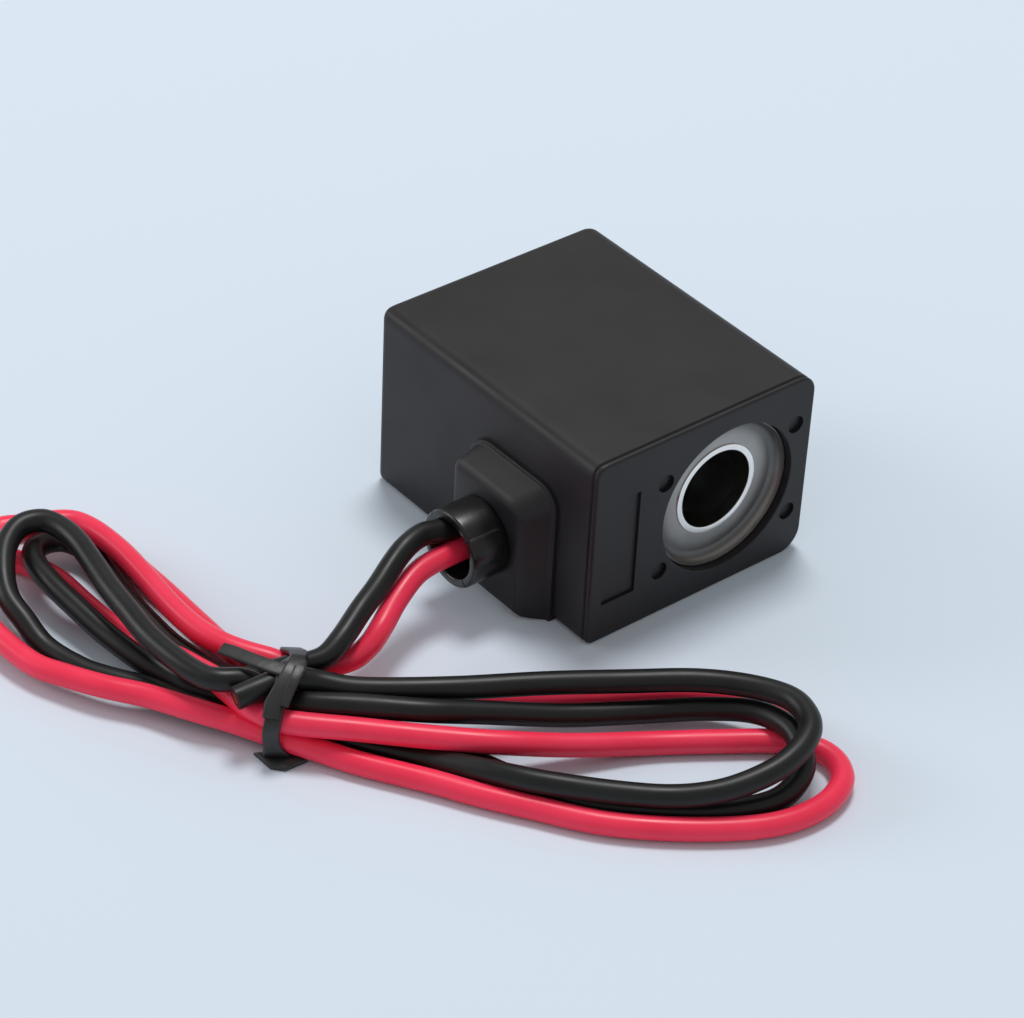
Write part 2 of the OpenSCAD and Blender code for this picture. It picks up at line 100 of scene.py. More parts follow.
# Black lead, from inside the boss to its cut end, in hank u, v, z
BLACK = [
    (20.2, 22.8, 9.3), (17.5, 20.6, 9.4), (14.9, 18.4, 9.5), (12.7, 17, 9.9), (11.1, 15.1, 9.8),
    (9.8, 13.1, 9.1), (8.4, 10.5, 8.1), (6.8, 7.9, 7.1), (5.2, 4.6, 6.3), (3.6, 2.6, 5.4),
    (1.5, 1.9, 4.9), (0, 1.7, 4.65), (-3, 1.7, 3.5), (-5, 2.4, 2.5), (-7.4, 4, 1.8),
    (-9.6, 6.4, 1.4), (-12, 8.8, 1.3), (-14, 11.2, 1.4), (-16, 13.8, 1.6), (-18.2, 17.3, 1.6),
    (-20.1, 20.3, 1.8), (-22, 22.4, 2.2), (-24, 23.1, 2.6), (-25.8, 22.2, 3), (-26.8, 20.2, 3.5),
    (-26.3, 17.8, 3.6), (-24.5, 15, 3.5), (-21.5, 11.7, 3), (-18.7, 8.8, 2.5), (-16, 6.3, 2.2),
    (-13.6, 4.4, 1.9), (-11, 2.9, 1.5), (-9, 1.8, 1.3), (-4.5, 0.4, 1.3), (0, -0.8, 1.8),
    (5, -1.9, 1.4), (10, -3.4, 1.2), (14, -4.9, 1.2), (18, -7, 1.2), (21.5, -9.1, 1.2),
    (25, -11, 1.2), (30, -12.7, 1.2), (37, -13.3, 1.2), (43, -12.9, 1.2), (47.6, -11.2, 1.4),
    (49.9, -8, 2.4), (49.2, -4, 3.5), (46, -0.6, 3), (41, 0.9, 2), (34, 0.2, 1.8),
    (27, -1.2, 2.3), (19, -3, 3.8), (13.5, -4.2, 4.8), (7.4, -4.2, 5.1), (3, -3.9, 4.9),
    (0, -3.2, 4.4), (-2, -2.5, 5.2), (-4, -2.2, 6.1), (-6.2, -2.5, 6.3), (-8, -1.9, 6.2),
    (-10.6, 0.3, 6.2), (-13.6, 3.8, 6.2), (-16, 7.6, 6.2), (-18.2, 11.2, 6.2), (-20.1, 14.8, 6.2),
    (-22, 18.2, 6.2), (-23.9, 20.5, 6.2), (-26, 21.7, 6.2), (-28.2, 20.9, 6), (-29.3, 18.2, 5.5),
    (-29.2, 14.9, 4.6), (-28.4, 12.2, 3.6), (-26.6, 9.9, 2.7), (-24.2, 7.2, 1.5), (-20.3, 4.4, 1.2),
    (-17, 3, 1.2), (-13.6, 1.9, 1.2), (-11, 0.3, 1.2), (-9, -0.7, 1.2), (-4.5, -1.8, 1.3),
    (0, -3.2, 1.8), (5, -4.5, 1.3), (10, -6, 1.2), (14, -7.5, 1.5), (18, -9.5, 2.4),
    (21.5, -11.2, 3.1), (25, -12.4, 3.4), (31, -13.5, 3.5), (36.5, -14, 3.6), (40.6, -13.9, 4.1),
    (44, -13, 4.7), (47.4, -11, 5.3), (49.7, -8.2, 5.8), (50.4, -5.2, 6), (49, -1.9, 5.9),
    (45.4, 0.4, 5.4), (40, 1.7, 4.9), (33, 1.4, 4.7), (25, 0.4, 4.9), (16, -1.1, 5.1),
    (7.4, -1.8, 5.2), (3.6, -1.6, 5.6), (1.6, -1.8, 6.2), (0, -2.4, 6.7), (-2, -3.8, 6.7),
    (-4.6, -5.2, 6.3),
]

# Red lead, from inside the boss to its cut end, in hank u, v, z
RED = [
    (21.1, 21.6, 7.4), (18.4, 19.4, 7.5), (15.5, 17.1, 7.5), (12.4, 14.3, 7.3), (10.3, 10.8, 6.4),
    (8.9, 7.4, 5.5), (7.7, 5.6, 4.5), (6, 4.5, 3.6), (3.3, 4, 3.1), (0, 3.9, 3.1),
    (-2, 4.3, 3.5), (-4.5, 5, 3.7), (-6.8, 6.1, 3.8), (-9.3, 8.1, 3.8), (-11.8, 11.1, 3.8),
    (-14.4, 15, 3.8), (-17.1, 19, 3.8), (-19.2, 21.6, 3.8), (-21.2, 23.6, 3.8), (-23.2, 24.8, 3.8),
    (-25.4, 24.7, 3.8), (-27.8, 23.9, 3.7), (-30.4, 22.2, 3.6), (-32.4, 19.2, 3.6), (-32.8, 15.4, 3.4),
    (-31.6, 11.4, 2.8), (-29, 7.8, 2.3), (-25.2, 4.1, 2), (-21.8, 2.2, 2.2), (-17.8, 0.5, 2.4),
    (-13.4, -0.7, 2.4), (-8.9, -2.7, 2.6), (-5.4, -3.6, 2.2), (-2.4, -4.6, 1.9), (0, -5.6, 1.8),
    (3.4, -6.6, 1.4), (7.7, -8.2, 1.2), (14.3, -10.3, 1.2), (19, -12, 1.2), (24, -13.5, 1.2),
    (31, -15.4, 1.2), (39, -15.8, 1.2), (46.6, -14.8, 1.2), (51.5, -12, 1.2), (53.8, -8, 1.2),
    (52.6, -4.3, 1.2), (48.4, -2.7, 1.2), (42, -3, 1.2), (35, -3.8, 1.3), (28, -5.5, 2.2),
    (21, -6.9, 3.4), (14, -6.9, 3.8), (7, -6.4, 4), (0.2, -5.9, 4.2), (-2.6, -4.4, 4.2),
    (-4, -3, 3.9), (-5.5, -1.2, 3.8), (-7, 0.6, 3.8), (-9, 2.4, 3.6), (-11, 4.5, 3),
    (-13, 6.5, 2.1), (-15, 8.4, 1.4), (-17, 10.2, 1.2), (-19, 12.2, 1.2), (-21.6, 15.2, 1.2),
    (-24.4, 18.5, 1.2), (-27.4, 20.6, 1.2), (-30.4, 22, 1.2), (-32.4, 24.2, 1.2), (-31.2, 26.6, 1.2),
    (-28.2, 27.2, 1.2), (-24.8, 26.8, 1.2), (-22, 25.8, 1.2), (-20, 24.2, 1.2), (-17, 21.4, 1.2),
    (-13.4, 17.2, 1.2), (-9, 11.6, 1.2), (-5, 6.6, 1.2), (-2, 3.2, 1.5), (0.4, 1.5, 2.2),
    (4, 0.9, 1.8), (8, 1.2, 1.2), (14, 1.6, 1.2), (22, 2.2, 1.2), (30, 3.2, 1.2),
    (38, 4.2, 1.2), (45, 3.6, 1.2), (49.6, 1.2, 1.2),
]

# Where the runs lie inside the tie, in hank v, z
TIED = [
    (-5.6, 1.8), (-3.2, 1.8), (-0.8, 1.8), (1.6, 2.2), (-5.9, 4.2),
    (3.9, 3.1), (-3.2, 4.4), (-2.4, 6.7), (1.7, 4.65),
]


# Camera, fitted to the photograph
LENS = 123.34
SENSOR = 36
EYE = (-198.596, -220.816, 223.096)
CAMERA_RIGHT = (0.7804, -0.6239, 0.0423)
CAMERA_FORWARD = (0.5187, 0.6080, -0.6011)


def place_object(name, data):
    """A new object in the scene, at the origin, for a mesh, curve, light or camera."""
    obj = bpy.data.objects.new(name, data)
    bpy.context.scene.collection.objects.link(obj)
    return obj


def make_camera():
    data = bpy.data.cameras.new("photo_camera")
    data.lens = LENS
    data.sensor_width = SENSOR
    data.clip_start = 0.01
    data.clip_end = 20
    right = Vector(CAMERA_RIGHT).normalized()
    forward = Vector(CAMERA_FORWARD).normalized()
    up = right.cross(forward)
    turn = Matrix((right, up, -forward)).transposed()
    camera = place_object("photo_camera", data)
    camera.matrix_world = Matrix.Translation(Vector(EYE) * MM) @ turn.to_4x4()
    bpy.context.scene.camera = camera


# Shader helpers
def add(tree, kind, inputs=None, **settings):
    """A new node with its settings, and its inputs linked or set."""
    node = tree.nodes.new(kind)
    for key, value in settings.items():
        setattr(node, key, value)
    for key, value in (inputs or {}).items():
        if isinstance(value, bpy.types.NodeSocket):
            tree.links.new(value, node.inputs[key])
        else:
            node.inputs[key].default_value = value
    return node


def shader_group(name, inputs, outputs):
    tree = bpy.data.node_groups.new(name, "ShaderNodeTree")
    for key, kind, value in inputs:
        socket = tree.interface.new_socket(key, in_out="INPUT", socket_type=kind)
        socket.default_value = value
    for key, kind in outputs:
        tree.interface.new_socket(key, in_out="OUTPUT", socket_type=kind)
    return tree, tree.nodes.new("NodeGroupInput"), tree.nodes.new("NodeGroupOutput")


def moulded_grain():
    """Fine surface texture and slow tone changes of a moulded or drawn skin."""
    tree, given, result = shader_group(
        "moulded_grain",
        [("Grain", "NodeSocketFloat", 4000), ("Patches", "NodeSocketFloat", 150)],
        [("Height", "NodeSocketFloat"), ("Tone", "NodeSocketFloat")],
    )
    place = add(tree, "ShaderNodeTexCoord")
    fine = add(tree, "ShaderNodeTexNoise", {
        "Vector": place.outputs["Object"], "Scale": given.outputs["Grain"], "Detail": 2.0})
    slow = add(tree, "ShaderNodeTexNoise", {
        "Vector": place.outputs["Object"], "Scale": given.outputs["Patches"], "Detail": 3.0})
    tree.links.new(fine.outputs["Fac"], result.inputs["Height"])
    tree.links.new(slow.outputs["Fac"], result.inputs["Tone"])
    return tree


def turned_marks():
    """Fine rings about the bore axis, slow tone changes and the distance from the axis."""
    tree, given, result = shader_group(
        "turned_marks",
        [("Fineness", "NodeSocketFloat", 6000)],
        [("Height", "NodeSocketFloat"), ("Tone", "NodeSocketFloat"), ("Radius", "NodeSocketFloat")],
    )
    place = add(tree, "ShaderNodeTexCoord")
    centred = add(tree, "ShaderNodeVectorMath", {
        0: place.outputs["Object"], 1: (BORE_X * MM, 0, BORE_Z * MM)}, operation="SUBTRACT")
    flat = add(tree, "ShaderNodeVectorMath", {
        0: centred.outputs[0], 1: (1, 0, 1)}, operation="MULTIPLY")
    far = add(tree, "ShaderNodeVectorMath", {0: flat.outputs[0]}, operation="LENGTH")
    rings = add(tree, "ShaderNodeTexNoise", {
        "W": far.outputs["Value"], "Scale": given.outputs["Fineness"], "Detail": 2.0,
    }, noise_dimensions="1D")
    slow = add(tree, "ShaderNodeTexNoise", {
        "Vector": place.outputs["Object"], "Scale": 260.0, "Detail": 3.0})
    tree.links.new(rings.outputs["Fac"], result.inputs["Height"])
    tree.links.new(slow.outputs["Fac"], result.inputs["Tone"])
    tree.links.new(far.outputs["Value"], result.inputs["Radius"])
    return tree


GRAIN = moulded_grain()
TURNED = turned_marks()

# The stretch of a noise's values that is used, and how strongly its height shows
NOISE_LOW, NOISE_HIGH = 0.3, 0.7
BUMP_STRENGTH = 0.5

# How far a turned finish strays from its tone
TURNED_UNEVEN = (0.9, 1.04)


def new_material(name):
    material = bpy.data.materials.new(name)
    material.use_nodes = True
    return material, material.node_tree, material.node_tree.nodes["Principled BSDF"]


def blend_colour(tree, factor, dark, light):
    mix = add(tree, "ShaderNodeMix", {"Factor": factor}, data_type="RGBA")
    first, second = (s for s in mix.inputs if s.type == "RGBA")
    first.default_value = (*dark, 1)
    second.default_value = (*light, 1)
    return next(s for s in mix.outputs if s.type == "RGBA")


def ranged(tree, value, low, high):
    """A noise's value spread from low to high."""
    node = add(tree, "ShaderNodeMapRange", {
        "Value": value, "From Min": NOISE_LOW, "From Max": NOISE_HIGH, "To Min": low, "To Max": high})
    return node.outputs["Result"]


def bump_skin(tree, shader, height, depth):
    """Shows a height on the surface as a bump, its depth in millimetres."""
    bump = add(tree, "ShaderNodeBump", {
        "Height": height, "Strength": BUMP_STRENGTH, "Distance": depth * MM})
    tree.links.new(bump.outputs["Normal"], shader.inputs["Normal"])


def skin_material(name, dark, light, rough, grain=4000, depth=0.01, patches=150, metal=0.0, **more):
    """Moulded, drawn or plated skin: two close tones, uneven gloss and a fine grain."""
    material, tree, shader = new_material(name)
    group = add(tree, "ShaderNodeGroup", {"Grain": grain, "Patches": patches}, node_tree=GRAIN)
    tone = ranged(tree, group.outputs["Tone"], 0.0, 1.0)
    tree.links.new(blend_colour(tree, tone, dark, light), shader.inputs["Base Color"])
    tree.links.new(ranged(tree, group.outputs["Tone"], *rough), shader.inputs["Roughness"])
    bump_skin(tree, shader, group.outputs["Height"], depth)
    shader.inputs["Metallic"].default_value = metal
    for key, value in more.items():
        shader.inputs[key.replace("_", " ")].default_value = value
    return material


def turned_material(name, tones, tint, rough, depth):
    """Turned or pressed plated steel with fine rings about the bore. Its tones are (radius, level), and
    carry painted shade and painted highlight by radius.
    """
    material, tree, shader = new_material(name)
    group = add(tree, "ShaderNodeGroup", node_tree=TURNED)
    spot = add(tree, "ShaderNodeMath", {
        0: group.outputs["Radius"], 1: RECESS_R * MM}, operation="DIVIDE")
    ramp = add(tree, "ShaderNodeValToRGB", {"Fac": spot.outputs["Value"]})
    stops = ramp.color_ramp.elements
    while len(stops) < len(tones):
        stops.new(0.5)
    for stop, (radius, level) in zip(stops, tones):
        stop.position = radius / RECESS_R
        stop.color = (*(level * c for c in tint), 1)
    uneven = ranged(tree, group.outputs["Tone"], *TURNED_UNEVEN)
    colour = add(tree, "ShaderNodeVectorMath", {
        0: ramp.outputs["Color"], 1: uneven}, operation="MULTIPLY")
    tree.links.new(colour.outputs[0], shader.inputs["Base Color"])
    tree.links.new(ranged(tree, group.outputs["Height"], *rough), shader.inputs["Roughness"])
    bump_skin(tree, shader, group.outputs["Height"], depth)
    shader.inputs["Metallic"].default_value = 1.0
    return material


# Finishes: dark and light tone, roughness range, then the grain
HOUSING = skin_material(
    "housing_plastic", (0.0125, 0.0123, 0.0152), (0.0165, 0.0162, 0.0192), (0.42, 0.52),
    grain=5200, depth=0.014, Specular_IOR_Level=0.35, Specular_Tint=(1, 0.95, 0.89, 1))
COLLAR = skin_material(
    "collar_plastic", (0.004, 0.004, 0.004), (0.006, 0.006, 0.006), (0.22, 0.32), grain=5200, depth=0.01)
LEAD_BLACK = skin_material(
    "lead_black", (0.005, 0.0055, 0.0055), (0.009, 0.0095, 0.0095), (0.34, 0.44),
    grain=2600, depth=0.006, patches=220, Specular_IOR_Level=0.35)
LEAD_RED = skin_material(
    "lead_red", (0.93, 0.032, 0.085), (0.98, 0.042, 0.105), (0.28, 0.38),
    grain=2600, depth=0.006, patches=220, Specular_IOR_Level=0.35)
TIE = skin_material(
    "tie_plastic", (0.012, 0.012, 0.012), (0.022, 0.020, 0.020), (0.34, 0.48),
    grain=1500, depth=0.05, patches=500)
# The bobbin's dark grey is painted shade, so that the bore looks dark inside
BOBBIN = skin_material("bobbin_plastic", (0.06, 0.06, 0.06), (0.08, 0.08, 0.08), (0.42, 0.55))
TAPE = skin_material("tape_film", (0.52, 0.25, 0.04), (0.62, 0.31, 0.06), (0.2, 0.32))
COPPER = skin_material(
    "core_copper", (0.60, 0.24, 0.11), (0.75, 0.34, 0.18), (0.25, 0.4), metal=1.0)
YOKE = skin_material(
    "yoke_steel", (0.38, 0.39, 0.41), (0.46, 0.47, 0.49), (0.3, 0.42), metal=1.0)
TINNED = skin_material(
    "tinned_metal", (0.55, 0.55, 0.53), (0.66, 0.66, 0.64), (0.25, 0.4), metal=1.0)
ENAMEL = skin_material(
    "winding_copper", (0.42, 0.13, 0.05), (0.56, 0.20, 0.08), (0.22, 0.34), metal=0.6)

# Plated finishes about the bore: tones by radius with painted shade and highlight, tint, roughness range
# and ring depth
# Washer: the dark band from 7.3 to 8.0 mm is painted shade on the dish's curve, and the lighter lip from
# 8.3 mm out is a painted highlight
WASHER = turned_material(
    "washer_steel", [(5.3, 0.40), (6.3, 0.35), (7.3, 0.17), (8.0, 0.13), (8.3, 0.34), (8.5, 0.36)],
    (1, 0.96, 0.92), (0.32, 0.44), 0.008)
# Bush: the bore wall is painted at half the face's level, painted shade inside the bore
BUSH = turned_material(
    "bush_steel", [(BORE_R, 0.5), (BORE_R + 0.05, 0.98)], (1, 0.965, 0.93), (0.16, 0.26), 0.003)


# Mesh helpers, in millimetres
def skin(bm, rings, closed):
    """Joins rings of the same number of vertices with quads, the last to the first if closed."""
    count = len(rings[0])
    last = len(rings) if closed else len(rings) - 1
    for i in range(last):
        a, b = rings[i], rings[(i + 1) % len(rings)]
        for j in range(count):
            k = (j + 1) % count
            bm.faces.new((a[j], a[k], b[k], b[j]))


def skin_capped(bm, rings):
    """Joins rings with quads and closes both ends."""
    skin(bm, rings, closed=False)
    bm.faces.new(rings[0])
    bm.faces.new(rings[-1])


def rounded(corners, steps=4):
    """Closed outline whose corners (x, y, radius) are turned into arcs."""
    out = []
    for i, (x, y, r) in enumerate(corners):
        here = Vector((x, y))
        if r == 0:
            out.append(here)
            continue
        before = (Vector(corners[i - 1][:2]) - here).normalized()
        after = (Vector(corners[(i + 1) % len(corners)][:2]) - here).normalized()
        half = before.angle(after) / 2
        middle = (before + after).normalized()
        centre = here + middle * r / math.sin(half)
        spread = math.pi / 2 - half
        side = 1 if middle.cross(before) > 0 else -1
        for k in range(steps + 1):
            turn = side * spread * (1 - 2 * k / steps)
            arm = Matrix.Rotation(-turn, 2) @ -middle
            out.append(centre + arm * r)
    return out


def shade(obj, sharp):
    """Smooth shading that breaks at edges sharper than an angle in degrees."""
    mesh = obj.data
    mesh.polygons.foreach_set("use_smooth", [True] * len(mesh.polygons))
    mesh.set_sharp_from_angle(angle=math.radians(sharp))
    mesh.update()


def make_object(name, bm, material, sharp=35):
    """A shaded object in the frame from a bmesh in millimetres."""
    bmesh.ops.recalc_face_normals(bm, faces=bm.faces)
    bmesh.ops.scale(bm, vec=(MM, MM, MM), verts=bm.verts)
    mesh = bpy.data.meshes.new(name)
    bm.to_mesh(mesh)
    bm.free()
    mesh.materials.append(material)
    obj = place_object(name, mesh)
    shade(obj, sharp)
    return obj


def bake_modifiers(obj):
    """Makes the object's modifiers part of its mesh."""
    graph = bpy.context.evaluated_depsgraph_get()
    mesh = bpy.data.meshes.new_from_object(obj.evaluated_get(graph))
    old = obj.data
    obj.modifiers.clear()
    obj.data = mesh
    bpy.data.meshes.remove(old)


def combine(obj, other, operation):
    """Adds or cuts another object, which is used up."""
    modifier = obj.modifiers.new(operation.lower(), "BOOLEAN")
    modifier.operation = operation
    modifier.solver = "EXACT"
    modifier.object = other
    bake_modifiers(obj)
    bpy.data.objects.remove(other)


def along_line(start, end):
    """Place halfway between two points, with its Z along the line."""
    middle = Matrix.Translation((start + end) / 2)
    return middle @ (end - start).to_track_quat("Z", "Y").to_matrix().to_4x4()


def box_object(lo, hi):
    """Plain box cutter between two corners."""
    bm = bmesh.new()
    size = Vector(hi) - Vector(lo)
    centre = (Vector(hi) + Vector(lo)) / 2
    place = Matrix.Translation(centre) @ Matrix.Diagonal((*size, 1))
    bmesh.ops.create_cube(bm, size=1, matrix=place)
    return make_object("cutter", bm, HOUSING)


def rod_object(start, end, radius, steps=64):
    """Plain round cutter between two points."""
    bm = bmesh.new()
    start, end = Vector(start), Vector(end)
    bmesh.ops.create_cone(bm, cap_ends=True, segments=steps, radius1=radius, radius2=radius,
                          depth=(end - start).length, matrix=along_line(start, end))
    return make_object("cutter", bm, HOUSING)


def dress(obj, slot, *nodes):
    """Sets a finished piece on the root body and hides the CAD nodes it stands in for."""
    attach(obj, "root")
    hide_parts(*nodes)
    return obj


# Moulded block around the bore
BLOCK_STEPS = 288
FRONT_FILLET = 0.3
REAR_FILLET = 0.9
FILLET_STEPS = 5
FACE_EDGE = 0.15

# Rings that spread the faces: their distances behind an end, and their shares of the way to the recess
SIDE_RINGS = (8, 1.6)
REAR_RING = REAR_FILLET + 0.12
FACE_RINGS = (0.3, 0.6, 0.85)

# Groove round the front end, as (distance behind the face, depth)
GROOVE = [(0.84, 0), (0.78, 0.04), (0.68, 0.2), (0.52, 0.2), (0.42, 0.04), (0.37, 0)]

# Recess for a washer, the ledge that the washer seats on, and the room for the coil
RECESS_FILLET = 0.12
RECESS_STEPS = 3
RECESS_RIM = RECESS_R + RECESS_FILLET + 0.1
RECESS_RING = 0.4
LEDGE_R = 7.0
LEDGE_TOP = SEAT + 0.1
LEDGE_UNDER = SEAT + 1.6
ROOM_R = RECESS_R + 0.1


def end_fillet(end):
    return FRONT_FILLET if end < 0 else REAR_FILLET


def edge_side(at):
    """Which of the four long edges a point of the section belongs to, as the signs of x and z."""
    return (1 if at.x > 0 else -1, 1 if at.y > 0 else -1)


def past_flats(at):
    """How far a point lies beyond the middle of its edge's arc, and that edge's radius."""
    r = EDGE_R[edge_side(at)]
    return Vector((max(abs(at.x) - SIDE + r, 0), max(abs(at.y) - TOP / 2 + r, 0))), r


def block_outline():
    """The block's section seen from the bore axis at even angles: points, outward normals and angles."""
    start = Vector((BORE_X, BORE_Z - TOP / 2))
    found = []
    for k in range(BLOCK_STEPS):
        angle = math.tau * k / BLOCK_STEPS
        way = Vector((math.cos(angle), math.sin(angle)))
        near, far = 0.0, 2 * SIDE
        for _ in range(48):
            middle = (near + far) / 2
            over, r = past_flats(start + way * middle)
            if over.length < r:
                near = middle
            else:
                far = middle
        at = start + way * near
        over = past_flats(at)[0].normalized()
        normal = Vector((math.copysign(over.x, at.x), math.copysign(over.y, at.y)))
        found.append((at + Vector((0, TOP / 2)), normal, angle))
    return found


def quarter_arc(radius, steps):
    """Points of a quarter circle as how far it has come in from each of its two sides."""
    turns = [math.radians(90 * k / steps) for k in range(steps + 1)]
    return [(radius * (1 - math.cos(t)), radius * (1 - math.sin(t))) for t in turns]


def block_rings(end):
    """From the middle of the block's side over one end's edge to the recess in it, as (kind, value, y)."""
    def y(depth):
        return end * (FACE - depth)

    fillet = end_fillet(end)
    rings = [("side", 0, y(behind)) for behind in SIDE_RINGS]
    if end < 0:
        rings += [("side", depth, y(behind)) for behind, depth in GROOVE]
    else:
        rings.append(("side", 0, y(REAR_RING)))
    rings += [("side", inward, y(depth)) for inward, depth in quarter_arc(fillet, FILLET_STEPS)]
    rings.append(("side", fillet + FACE_EDGE, y(0)))
    rings += [("face", share, y(0)) for share in FACE_RINGS]
    rings.append(("bore", RECESS_RIM, y(0)))
    recess_arc = quarter_arc(RECESS_FILLET, RECESS_STEPS)
    rings += [("bore", RECESS_R + rest, y(depth)) for depth, rest in recess_arc]
    rings += [("bore", RECESS_R, y(RECESS_RING)), ("bore", RECESS_R, y(LEDGE_TOP))]
    rings += [("bore", LEDGE_R, y(LEDGE_TOP)), ("bore", LEDGE_R, y(LEDGE_UNDER))]
    rings.append(("bore", ROOM_R, y(LEDGE_UNDER)))
    return rings


def bore_point(r, angle):
    """Point about the bore in the block's section, as x and z."""
    return Vector((BORE_X + r * math.cos(angle), BORE_Z + r * math.sin(angle)))


def make_block():
    outline = block_outline()
    plan = list(reversed(block_rings(-1))) + block_rings(1)
    bm = bmesh.new()
    rings = []
    for kind, value, y in plan:
        ring = []
        for at, normal, angle in outline:
            if kind == "side":
                p = at - normal * value
            elif kind == "face":
                edge = at - normal * (end_fillet(y) + FACE_EDGE)
                p = edge.lerp(bore_point(RECESS_RIM, angle), value)
            else:
                p = bore_point(value, angle)
            ring.append(bm.verts.new((p.x, y, p.y)))
        rings.append(ring)
    skin(bm, rings, closed=True)
    return make_object("housing_shell", bm, HOUSING)


# Outlet boss, in y and z: where its tapered block meets the plinth, and its outer face
BOSS_FOOT = ((-11.8, 0.0), (1.3, 15.7))
BOSS_FACE = ((-10.0, 0.6), (0.9, 13.85))
BOSS_FRONT_R = 2.2
BOSS_REAR_FACE_R = 1.0
BOSS_REAR_FOOT_R = 3.0
BOSS_FACE_SOFT = 0.75
PLINTH_OUT = 0.5
PLINTH_GROW = 0.4
PLINTH_ROOT = 2.5
PLINTH_SOFT = 0.18
SOFT_FROM = 25


def boss_outline(lo, hi, rear_r, front_r=BOSS_FRONT_R):
    return rounded([(*lo, 0), (hi[0], lo[1], 0), (*hi, rear_r), (lo[0], hi[1], front_r)], 6)


def soften(bm, chosen, offset):
    """Rounds the chosen edges where their faces meet at more than a slight angle."""
    edges = [e for e in bm.edges if chosen(e) and e.calc_face_angle(0) > math.radians(SOFT_FROM)]
    bmesh.ops.bevel(bm, geom=edges, offset=offset, segments=4, profile=0.5, affect="EDGES",
                    clamp_overlap=True)


def make_boss():
    bm = bmesh.new()
    lo, hi = BOSS_FOOT
    plinth = boss_outline((lo[0] - PLINTH_GROW, lo[1]), (hi[0] + PLINTH_GROW, hi[1] + PLINTH_GROW),
                          BOSS_REAR_FOOT_R + PLINTH_GROW, BOSS_FRONT_R + PLINTH_GROW)
    plinth_x = -SIDE - PLINTH_OUT
    plan = [
        (-SIDE + PLINTH_ROOT, plinth),
        (plinth_x, plinth),
        (plinth_x, boss_outline(lo, hi, BOSS_REAR_FOOT_R)),
        (BOSS_X, boss_outline(*BOSS_FACE, BOSS_REAR_FACE_R)),
    ]
    skin_capped(bm, [[bm.verts.new((x, y, z)) for y, z in outline] for x, outline in plan])
    bmesh.ops.recalc_face_normals(bm, faces=bm.faces)
    soften(bm, lambda e: all(v.co.x < BOSS_X + 0.01 for v in e.verts), BOSS_FACE_SOFT)
    soften(bm, lambda e: all(abs(v.co.x - plinth_x) < 0.01 for v in e.verts), PLINTH_SOFT)
    return make_object("boss", bm, HOUSING)


# Room inside the housing for the strip, the terminal lug and the collar's root
STRIP_ROOM = Vector((0.1, 0, 0.1))
LUG_ROOM_LO = (bobbin_lo.x - 0.05, bobbin_lo.y - 0.05, 1.55)
LUG_ROOM_HI = (yoke_lo.x + 1.6, 1.2, 11.5)
OUTLET_R = COLLAR_R - 0.15
OUTLET_FROM = (-SIDE + 3, OUT_Y, OUT_Z)
OUTLET_TO = (BOSS_X - 1, OUT_Y, OUT_Z)

# Round mould marks, by their distance from the bore axis along x and z
MARK_X = 8.7
MARK_Z = 5.5
MARK_R = 1.0
MARK_DEPTH = 0.45

# Panel recess in the front face
PANEL_LO = (-12.8, -FACE - 1, 4.5)
PANEL_HI = (-8.5, -FACE + 0.3, 17)


def mark_cutter(end, x, z):
    at = Vector((BORE_X + x, end * FACE, BORE_Z + z))
    out = Vector((0, end, 0))
    return rod_object(at + out, at - out * MARK_DEPTH, MARK_R, 48)


def make_housing():
    shell = make_block()
    combine(shell, make_boss(), "UNION")
    combine(shell, box_object(yoke_lo - STRIP_ROOM, yoke_hi + STRIP_ROOM), "DIFFERENCE")
    combine(shell, box_object(LUG_ROOM_LO, LUG_ROOM_HI), "DIFFERENCE")
    combine(shell, rod_object(OUTLET_FROM, OUTLET_TO, OUTLET_R), "DIFFERENCE")
    for end in (-1, 1):
        for x in (-MARK_X, MARK_X):
            for z in (-MARK_Z, MARK_Z):
                combine(shell, mark_cutter(end, x, z), "DIFFERENCE")
    combine(shell, box_object(PANEL_LO, PANEL_HI), "DIFFERENCE")
    shade(shell, 32)
    return dress(shell, "housing_plastic", "housing")


# Round pieces about the bore
WASHER_T = 0.55
WASHER_RIM = 0.15
WASHER_STEPS = 12


def lathe(name, profile, place, material, steps=160):
    """Ring-shaped piece from a closed profile of (radius, height), set by place(radius, angle, height)."""
    bm = bmesh.new()
    rings = []
    for k in range(steps):
        angle = math.tau * k / steps
        rings.append([bm.verts.new(place(p.x, angle, p.y)) for p in profile])
    skin(bm, rings, closed=True)
    return make_object(name, bm, material)


def on_bore(end):
    """Places a profile about the bore, its heights as depths below an end of the block."""
    def place(r, angle, depth):
        x, z = bore_point(r, angle)
        return (x, end * (FACE - depth), z)
    return place


def washer_profile():
    """Flat bottom at the bush, a hollow curve up to the lip, then the rim and back."""
    curve = SEAT - WASHER_T - LIP
    flat_r = WASHER_R - WASHER_RIM - curve
    inner = BUSH_R + 0.01
    points = [(inner, LIP + curve), ((flat_r + inner) / 2, LIP + curve)]
    for k in range(WASHER_STEPS + 1):
        t = math.radians(90 * k / WASHER_STEPS)
        points.append((flat_r + curve * math.sin(t), LIP + curve * math.cos(t)))
    points += [(WASHER_R - 0.09, LIP), (WASHER_R - 0.02, LIP + 0.03), (WASHER_R, LIP + 0.12)]
    points += [(WASHER_R, SEAT), (inner, SEAT)]
    return [Vector(p) for p in points]


def bush_profile():
    return rounded([
        (BORE_R, BUSH_TOP, 0.1), (BUSH_R, BUSH_TOP, 0.06),
        (BUSH_R, BUSH_END, 0.1), (BORE_R, BUSH_END, 0.1),
    ])


def make_bore_ends():
    for end, side in ((-1, "front"), (1, "rear")):
        washer = lathe(side + "_dished_washer", washer_profile(), on_bore(end), WASHER)
        dress(washer, "washer_steel", side + "_washer")
        bush = lathe(side + "_plated_bush", bush_profile(), on_bore(end), BUSH)
        dress(bush, "bush_steel", side + "_bush")


